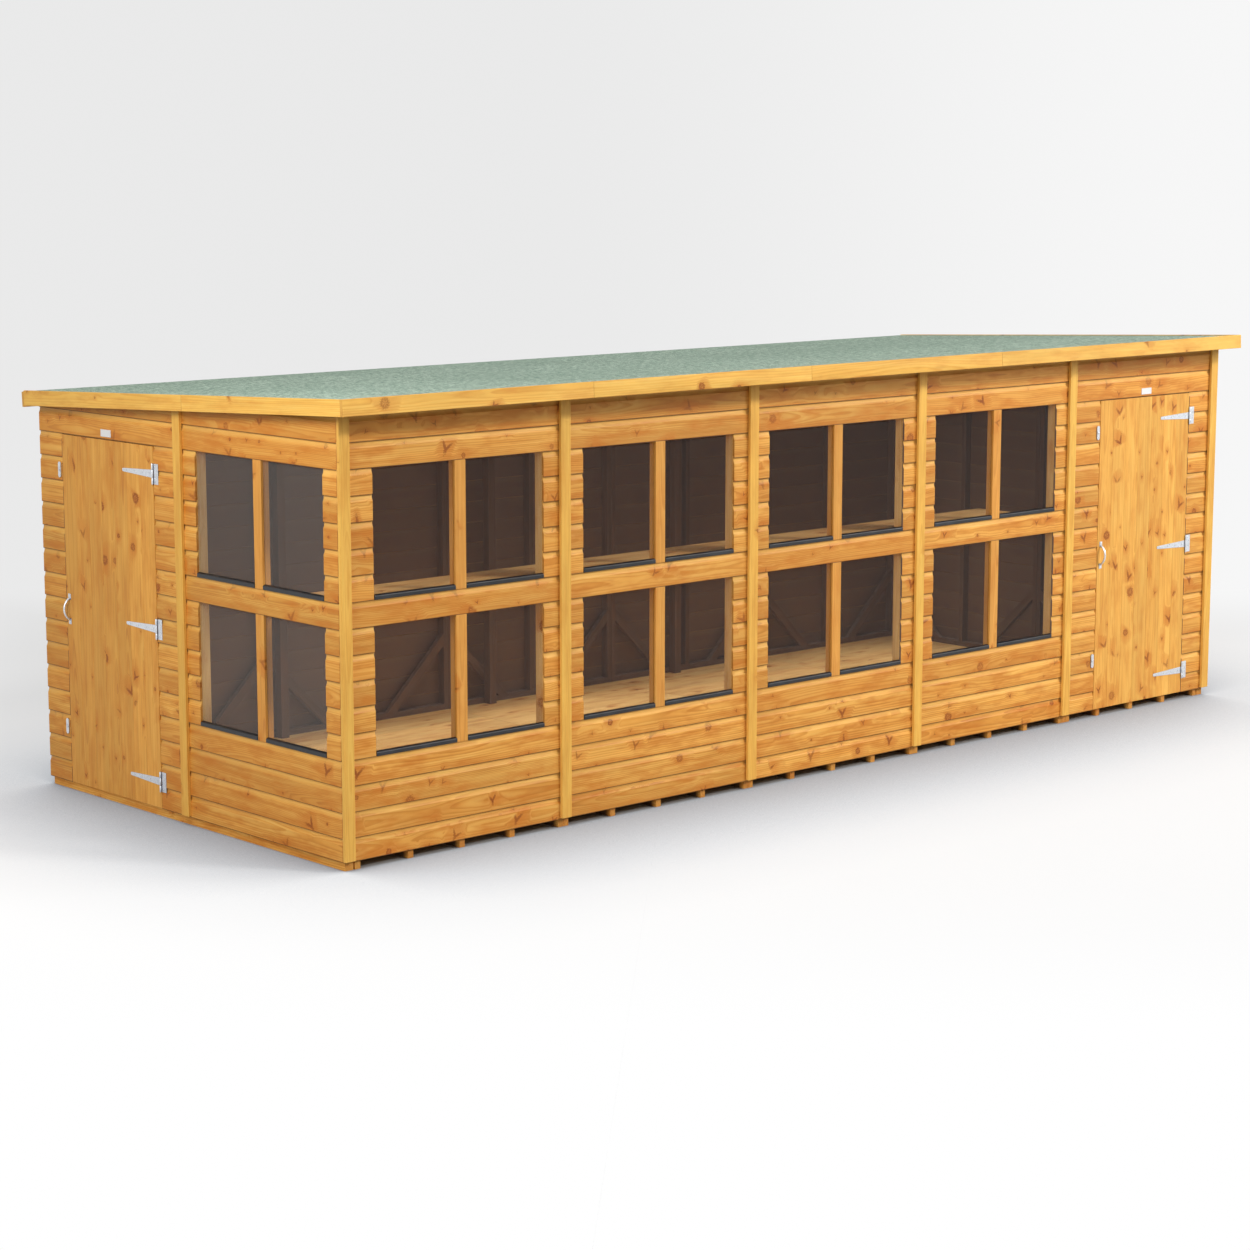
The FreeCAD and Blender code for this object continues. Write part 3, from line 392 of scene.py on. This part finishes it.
def shiplap_marks(g, board, colour, pale, dark):
    """A painted highlight on the cove at the top of a board, painted shade on its lower part and a painted
    shade line at its foot, and painted shade on the faces inside the shed.
    """
    rise = g.add(board.v, board.half_v)
    # a painted highlight on the cove at the top of the board
    colour = g.stain(colour, g.smooth(rise, *COVE_HIGHLIGHT_RISE), (COVE_HIGHLIGHT_SHARE, pale))
    # painted shade on the lower part of the board
    colour = g.stain(colour, g.smooth(rise, *FOOT_SHADE_RISE, 1.0, 0.0), (FOOT_SHADE_SHARE, dark))
    # a painted shade line at the foot, where the board meets the one below
    colour = g.stain(colour, g.smooth(rise, *SHADE_LINE_RISE, 1.0, 0.0), PAINTED_SHADE_LINE)
    # painted shade on the faces that look into the shed
    shape = g.node("ShaderNodeNewGeometry").outputs
    outwards = {0: shape["Normal"], 1: shape["Position"]}
    facing = g.node("ShaderNodeVectorMath", outwards, operation="DOT_PRODUCT").outputs["Value"]
    return g.stain(colour, g.math("LESS_THAN", facing, 0.0), INNER_PAINTED_SHADE)


def timber(name, tones, knots=0.3, lean=0.0, sweep=1.8, shiplap=False, rough=0.5, vary=1.0, damp=0.0):
    """Softwood. tones are the pale, middle and dark of its growth rings, knots the share of cells with a
    knot, lean and sweep the slant of its knots and how far that differs, vary how much one board differs
    from the next, and damp how much painted shade it gets away from its ends."""
    g = material(name)
    board = Board(g)
    knot, core, halo, flow = knot_marks(g, board, knots, lean, sweep)
    radius, late_wood = growth_rings(g, board, flow)
    fibre = board.noise(FIBRE, g.times(board.w, 420.0))
    drawn_out = g.vector(g.times(board.u_own, 2.2), g.times(radius, 85.0), board.three)
    streak = g.noise(drawn_out, 1.0, 3.0, 0.55)
    cloud = board.noise(CLOUD, board.one)
    blotch = board.noise(BLOTCH, board.two)

    # the wood itself, then how its boards differ
    pale, middle, dark = tones
    share = g.add(g.times(late_wood, 0.17), g.times(streak, 0.62), g.times(fibre, 0.16))
    colour = g.ramp(share, (0.2, pale), (0.46, middle), (0.75, dark))
    tone = g.times(g.smooth(fibre, 0.3, 0.7, 0.95, 1.03), g.smooth(cloud, 0.25, 0.75, 0.94, 1.05),
                   g.smooth(board.one, 0.0, 1.0, 1.0 - 0.15 * vary, 1.0 + 0.06 * vary))
    colour = g.mix(1.0, colour, g.grey(tone), "MULTIPLY")
    colour = g.stain(colour, board.two, WARM_STAIN, vary)
    colour = g.stain(colour, g.smooth(blotch, 0.42, 0.72), BLOTCH_STAIN, vary)
    for where, stain in ((flow, FLOW_STAIN), (halo, HALO_STAIN), (knot, KNOT_STAIN), (core, EYE_STAIN)):
        colour = g.stain(colour, where, stain)

    # sawn ends are darker, and timber that lies under the floor gets painted shade away from them
    from_end = g.minus(board.half_u, g.size(board.u))
    colour = g.stain(colour, g.smooth(from_end, *SAWN_DEPTH, 1.0, 0.0), SAWN_STAIN)
    if damp:
        colour = g.stain(colour, g.smooth(from_end, *UNDERFLOOR_SHADE_DEPTH), UNDERFLOOR_PAINTED_SHADE, damp)
    if shiplap:
        colour = shiplap_marks(g, board, colour, pale, dark)

    relief = g.add(g.times(fibre, 0.5), g.times(late_wood, 0.35), g.times(knot, 0.3))
    return g.surface(Base_Color=colour, Roughness=g.smooth(share, 0.2, 0.8, rough + 0.08, rough - 0.06),
                     Normal=g.bump(relief, 0.2, 0.001), Specular_IOR_Level=0.3)


# Pale, middle and dark of each wood
HONEY = (rgb(250, 201, 108), rgb(229, 163, 72), rgb(188, 112, 33))
DOOR_HONEY = (rgb(250, 200, 104), rgb(238, 178, 84), rgb(212, 140, 56))
# a deeper copy of the door timber: painted shade for the door on the shaded end
END_DOOR_SHADED_HONEY = (rgb(246, 190, 98), rgb(232, 168, 76), rgb(202, 128, 50))
FASCIA_HONEY = (rgb(252, 208, 112), rgb(245, 191, 90), rgb(224, 156, 64))
STRIP_HONEY = (rgb(251, 205, 101), rgb(243, 189, 88), rgb(222, 158, 65))
BAR_HONEY = (rgb(242, 182, 94), rgb(229, 163, 76), rgb(200, 130, 54))
INNER_HONEY = (rgb(252, 212, 144), rgb(244, 196, 120), rgb(216, 160, 88))
# a dark copy of the inner timber: painted shade for the unlit inside of the shed
SHADED_INNER_HONEY = (rgb(132, 110, 96), rgb(116, 96, 83), rgb(98, 80, 70))

# The slant of knots on boards that stand upright, in radians
UPRIGHT = 1.57

front_shiplap = timber("front_shiplap", HONEY, knots=0.45, shiplap=True)
end_shiplap = timber("end_shiplap", HONEY, knots=0.45, shiplap=True)
door_timber = timber("door_boards", DOOR_HONEY, knots=0.4, lean=UPRIGHT, sweep=1.2, vary=0.6)
# the end door wears the door timber with painted shade
end_door_shaded_timber = timber("end_door_boards", END_DOOR_SHADED_HONEY, knots=0.4, lean=UPRIGHT, sweep=1.2, vary=0.6)
fascia_timber = timber("fascia_timber", FASCIA_HONEY, knots=0.18, vary=0.5)
strip_timber = timber("strip_timber", STRIP_HONEY, knots=0.08, vary=0.4)
bar_timber = timber("bar_timber", BAR_HONEY, knots=0.12, vary=0.5)
frame_timber = timber("frame_timber", INNER_HONEY, knots=0.2, rough=0.65, vary=0.7)
floor_timber = timber("floor_timber", INNER_HONEY, knots=0.2, rough=0.6, vary=0.7)
# the inner timber with painted shade, for the framing and roof seen in the dark inside
shaded_inner_timber = timber("shaded_inner_timber", SHADED_INNER_HONEY, knots=0.0, rough=0.7, vary=0.1)
rough_timber = timber("rough_timber", HONEY, knots=0.2, rough=0.65)
# the joists get painted shade under the floor, away from their ends
joist_timber = timber("joist_timber", HONEY, knots=0.2, rough=0.65, damp=0.92)


# Other finishes: patterns as changes per metre, stains as share and colour

GRIT = 420.0
FELT_DARK = rgb(94, 121, 107)
FELT_MIDDLE = rgb(166, 193, 175)
FELT_PALE = rgb(228, 242, 225)
FELT_WORN = (0.25, rgb(132, 156, 140))
FELT_CHIP = (0.5, rgb(222, 226, 206))
FRONT_CAST = (0.08, rgb(120, 110, 106))
END_CAST = (0.14, rgb(144, 140, 136))
SILL_BLACK = rgb(16, 18, 22)
SILL_WORN = (0.6, rgb(38, 42, 48))
SPANGLE = 240.0
ZINC_PALE = rgb(226, 229, 233)
ZINC_SPANGLE = (0.7, rgb(198, 203, 211))
ZINC_MARK = (0.5, rgb(164, 169, 178))
# painted shade in the zinc's crevices, and how far it reaches
ZINC_CREVICE_SHADE = (0.9, rgb(98, 102, 118))
CREVICE_SHADE_REACH = 0.014
PLATE_PALE = rgb(236, 236, 234)
PLATE_BRUSHED = (0.5, rgb(208, 209, 210))


def roofing_felt():
    """Mineral felt: coarse coloured grit over bitumen."""
    g = material("roofing_felt")
    x, y, z = g.place()
    place = g.vector(x, y, z)
    grit = g.cells(place, GRIT)
    tint, other, deep = g.picks(grit)
    speckle = g.noise(place, 75.0, 3.0, 0.75)
    mottle = g.noise(place, 16.0, 3.0, 0.65)
    washed = g.noise(g.vector(g.times(x, 90.0), g.times(y, 22.0)), 1.0, 3.0, 0.7)
    broad = g.noise(place, 1.3, 2.0, 0.6)
    share = g.add(g.times(tint, 0.2), g.times(speckle, 0.7), g.times(mottle, 0.25), g.times(washed, 1.1),
                  -0.62)
    colour = g.ramp(share, (0.34, FELT_DARK), (0.5, FELT_MIDDLE), (0.68, FELT_PALE))
    colour = g.stain(colour, g.smooth(broad, 0.35, 0.7), FELT_WORN)
    colour = g.stain(colour, g.smooth(other, 0.93, 0.97), FELT_CHIP)
    relief = g.add(g.times(deep, 0.5), g.times(grit["Distance"], 0.8), g.times(speckle, 0.6))
    return g.surface(Base_Color=colour, Roughness=0.92, Normal=g.bump(relief, 0.45, 0.002),
                     Specular_IOR_Level=0.2)


def glazing(name, cast):
    """Thin clear styrene with a faint grey cast and a clean gloss."""
    g = material(name)
    share, colour = cast
    haze = g.noise(g.vector(*g.place()), 3.0, 3.0)
    return g.surface(Base_Color=colour, Alpha=share, Roughness=g.smooth(haze, 0.3, 0.7, 0.03, 0.08),
                     Specular_IOR_Level=0.4)


def sill_plastic():
    """Black extruded plastic with a fine drawn surface."""
    g = material("sill_plastic")
    x, y, z = g.place()
    drawn = g.noise(g.vector(g.times(x, 2.0), g.times(y, 2.0), g.times(z, 600.0)))
    worn = g.noise(g.vector(x, y, z), 14.0, 3.0)
    colour = g.stain(SILL_BLACK, g.smooth(worn, 0.4, 0.75), SILL_WORN)
    return g.surface(Base_Color=colour, Roughness=g.smooth(worn, 0.3, 0.7, 0.28, 0.42),
                     Normal=g.bump(drawn, 0.08, 0.0006))


def zinc_steel():
    """Bright zinc plate with a faint spangle, handling marks and painted shade in its crevices."""
    g = material("zinc_steel")
    place = g.vector(*g.place())
    tint, _, _ = g.picks(g.cells(place, SPANGLE))
    marks = g.noise(place, 60.0, 4.0, 0.65)
    colour = g.stain(ZINC_PALE, g.smooth(tint, 0.0, 1.0), ZINC_SPANGLE)
    colour = g.stain(colour, g.smooth(marks, 0.55, 0.8), ZINC_MARK)
    # painted shade in crevices, by how closed in a point is
    colour = g.stain(colour, g.smooth(g.openness(CREVICE_SHADE_REACH, 6), 0.35, 0.95, 1.0, 0.0), ZINC_CREVICE_SHADE)
    return g.surface(Base_Color=colour, Metallic=0.8, Roughness=g.smooth(marks, 0.3, 0.7, 0.26, 0.44),
                     Normal=g.bump(marks, 0.06, 0.0006))


def bare_plate():
    """A bare satin plate."""
    g = material("bare_plate")
    x, y, z = g.place()
    brushed = g.noise(g.vector(g.times(x, 30.0), g.times(y, 30.0), g.times(z, 1500.0)))
    colour = g.stain(PLATE_PALE, g.smooth(brushed, 0.3, 0.7), PLATE_BRUSHED)
    return g.surface(Base_Color=colour, Metallic=0.4, Roughness=0.4, Normal=g.bump(brushed, 0.05, 0.0004))


# What each node wears: the first word that its name holds

zinc = zinc_steel()
FINISHES = {
    "front_window_panes": glazing("front_glazing", FRONT_CAST),
    "end_window_panes": glazing("end_glazing", END_CAST),
    "_sills": sill_plastic(), "roof_felt": roofing_felt(), "name_plates": bare_plate(),
    "hinge": zinc, "handle": zinc, "button": zinc, "screws": zinc,
    # the roof and the back and right framing wear the copy of the inner timber with painted shade
    "roof_boards": shaded_inner_timber, "roof_rafters": shaded_inner_timber, "roof_posts": shaded_inner_timber,
    "back_wall_frame": shaded_inner_timber, "right_wall_frame": shaded_inner_timber,
    "floor_boards": floor_timber, "shelf_planks": floor_timber,
    "floor_joists": joist_timber, "end_bearers": rough_timber, "back_cover_strips": rough_timber,
    "strip": strip_timber, "fascia": fascia_timber, "bars": bar_timber,
    "end_door_boards": end_door_shaded_timber, "door_boards": door_timber, "": frame_timber,
}
NOT_WOOD = ("_panes", "_sills", "roof_felt", "name_plates", "hinge", "handle", "button", "screws")


def finish_of(name):
    if name.endswith("cladding"):
        return front_shiplap if name.startswith("front_") else end_shiplap
    return next(finish for word, finish in FINISHES.items() if word in name)


for name, node in nodes.items():
    node.data.materials.clear()
    node.data.materials.append(finish_of(name))
    if name.endswith("cladding"):
        lay_grain(name, "X" if name.startswith(("front_", "back_")) else "Y")
    elif not any(word in name for word in NOT_WOOD):
        lay_grain(name)


# Eased edges on what is planed, sawn or pressed

# width of the eased edge in metres, by a word of the node's name
EASED = {
    "strip": 0.0022, "fascia": 0.002, "bars": 0.0016, "sills": 0.003, "button": 0.0012,
    "hinge_plates": 0.0005, "hinge_straps": 0.0005, "name_plates": 0.0006, "door_boards": 0.0008,
    "cladding": 0.0008,
}
SAME_POINT = 0.00001
EASED_ANGLE = 30


def ease_edges(node, width):
    weld = node.modifiers.new("one_skin", "WELD")
    weld.merge_threshold = SAME_POINT
    bevel = node.modifiers.new("eased_edges", "BEVEL")
    bevel.width = width
    bevel.segments = 2
    bevel.limit_method = "ANGLE"
    bevel.angle_limit = math.radians(EASED_ANGLE)
    bevel.harden_normals = True


for name, node in nodes.items():
    for word, width in EASED.items():
        if word in name:
            ease_edges(node, width)


# Stage: a pale floor that runs into a pale backdrop, a soft sky, two suns and four flat lamps, one inside

# lengths in metres; levels of 1 are white; ranges go from the first value to the second
FLOOR_HALF = 150.0
BACKDROP = 0.82
BACKDROP_RIGHT = 0.93
BACKDROP_TURN = (-0.05, 0.22)
NEAR_FLOOR = 1.0
NEAR_TO_FAR = (-3.5, 3.0)
BEHIND_CAMERA = (-60.0, -14.0)
CAMERA_AWAY = 15.0
LEAST_AWAY = 12.0
FLOOR_BOUNCE = 0.48
GLOW_SHARE = 0.7
GLOW_DEEP = (2.8, 5.2)
GLOW_ASIDE = (3.3, 5.2)
SHADE_REACH = 1.5
SHADE_RANGE = (0.24, 1.0)
COOL_SHADE = (0.8, 0.97, 1.18, 1.0)
WHITE = (1.0, 1.0, 1.0, 1.0)
SKY_LEVEL = 0.2


def deep_and_aside(g, x, y):
    """How far a place lies behind and to the right of the shed's middle, as the photograph faces it."""
    yaw = math.radians(CAMERA_YAW)
    deep = g.add(g.times(x, math.sin(yaw)), g.times(y, math.cos(yaw)))
    aside = g.minus(g.times(x, math.cos(yaw)), g.times(y, math.sin(yaw)))
    return deep, aside


def stage_floor():
    """A floor that partly glows: it is white in front, meets the backdrop and keeps the shed's shadow."""
    half = FLOOR_HALF
    corners = [(-half, -half, 0), (half, -half, 0), (half, half, 0), (-half, half, 0)]
    mesh = bpy.data.meshes.new("floor")
    mesh.from_pydata(corners, [], [(0, 1, 2, 3)])
    floor = bpy.data.objects.new("stage_floor", mesh)
    bpy.context.scene.collection.objects.link(floor)
    g = material("stage_floor")
    x, y, _ = g.place()
    deep, aside = deep_and_aside(g, x, y)
    bearing = g.math("DIVIDE", aside, g.larger(g.size(g.add(deep, CAMERA_AWAY)), LEAST_AWAY))
    backdrop = g.smooth(bearing, *BACKDROP_TURN, BACKDROP, BACKDROP_RIGHT)
    nearness = g.times(g.smooth(deep, *NEAR_TO_FAR, 1.0, 0.0), g.smooth(deep, *BEHIND_CAMERA))
    level = g.add(g.times(nearness, NEAR_FLOOR), g.times(g.minus(1.0, nearness), backdrop))
    shade = g.smooth(g.openness(SHADE_REACH, 8), *SHADE_RANGE)
    tint = g.mix(shade, COOL_SHADE, WHITE)
    shown = g.mix(1.0, g.grey(g.times(level, shade)), tint, "MULTIPLY")
    glow = g.node("ShaderNodeEmission", {"Color": shown})
    seen = g.seen()
    lit = g.node("ShaderNodeBsdfDiffuse", {"Color": g.grey(g.larger(g.times(seen, level), FLOOR_BOUNCE))})
    far_off = g.larger(g.smooth(g.size(deep), *GLOW_DEEP, GLOW_SHARE, 1.0),
                       g.smooth(g.size(aside), *GLOW_ASIDE, GLOW_SHARE, 1.0))
    mesh.materials.append(g.blend(g.times(seen, far_off), lit, glow))


def sky():
    """Even light from above; what a camera, a mirror or a pane sees is the pale backdrop."""
    world = bpy.data.worlds.new("sky")
    bpy.context.scene.world = world
    g = Graph(world, "ShaderNodeOutputWorld")
    x, y, _ = g.split(g.node("ShaderNodeTexCoord").outputs["Generated"])
    _, aside = deep_and_aside(g, x, y)
    backdrop = g.grey(g.smooth(aside, *BACKDROP_TURN, BACKDROP, BACKDROP_RIGHT))
    light = g.node("ShaderNodeBackground", {"Color": WHITE, "Strength": SKY_LEVEL})
    shown = g.node("ShaderNodeBackground", {"Color": backdrop})
    g.blend(g.seen(), light, shown)


def hang(lamp, place, towards):
    """Put a lamp in the scene, turned so that its light comes from a direction."""
    obj = bpy.data.objects.new(lamp.name, lamp)
    obj.location = place
    obj.rotation_euler = towards.to_track_quat("Z", "Y").to_euler()
    obj.visible_camera = False
    bpy.context.scene.collection.objects.link(obj)


def sun(name, side, height, energy, softness, colour):
    """A lamp from side degrees right of the front, height degrees up."""
    lamp = bpy.data.lights.new(name, "SUN")
    lamp.energy = energy
    lamp.angle = math.radians(softness)
    lamp.color = colour
    side, height = math.radians(side), math.radians(height)
    level = math.cos(height)
    towards = Vector((math.sin(side) * level, -math.cos(side) * level, math.sin(height)))
    hang(lamp, (0.0, 0.0, 0.0), towards)


def softbox(name, place, target, power, wide, deep, spread=180.0):
    """A flat lamp at a place, turned to a target, with its light within an angle."""
    lamp = bpy.data.lights.new(name, "AREA")
    lamp.shape = "RECTANGLE"
    lamp.energy = power
    lamp.size = wide
    lamp.size_y = deep
    lamp.spread = math.radians(spread)
    hang(lamp, place, Vector(place) - Vector(target))


def camera():
    lens = bpy.data.cameras.new("camera")
    lens.lens = CAMERA_LENS
    lens.sensor_width = SENSOR
    lens.clip_end = CLIP_END
    obj = bpy.data.objects.new("camera", lens)
    obj.location = CAMERA_PLACE
    obj.rotation_euler = (math.radians(90 + CAMERA_PITCH), 0.0, math.radians(-CAMERA_YAW))
    bpy.context.scene.collection.objects.link(obj)
    bpy.context.scene.camera = obj


stage_floor()
sky()
sun("key", side=35.0, height=33.0, energy=1.45, softness=9.0, colour=(1.0, 0.98, 0.95))
sun("fill", side=-74.0, height=20.0, energy=1.0, softness=40.0, colour=(1.0, 0.99, 0.97))
softbox("front", place=(0.2, -4.2, 4.7), target=(0.2, -1.2, 1.4), power=56.0, wide=6.4, deep=0.5)
softbox("right", place=(6.5, -6.0, 4.2), target=(2.8, -1.2, 1.0), power=215.0, wide=2.5, deep=2.5)
softbox("left", place=(-5.5, -1.4, 3.5), target=(-3.1, -0.5, 1.7), power=58.0, wide=1.2, deep=1.2)
softbox("inside", place=(0.0, 0.55, 1.78), target=(0.0, 0.55, 0.0), power=12.5, wide=5.8, deep=0.6,
        spread=50.0)
camera()
bpy.context.scene.view_settings.view_transform = "Standard"
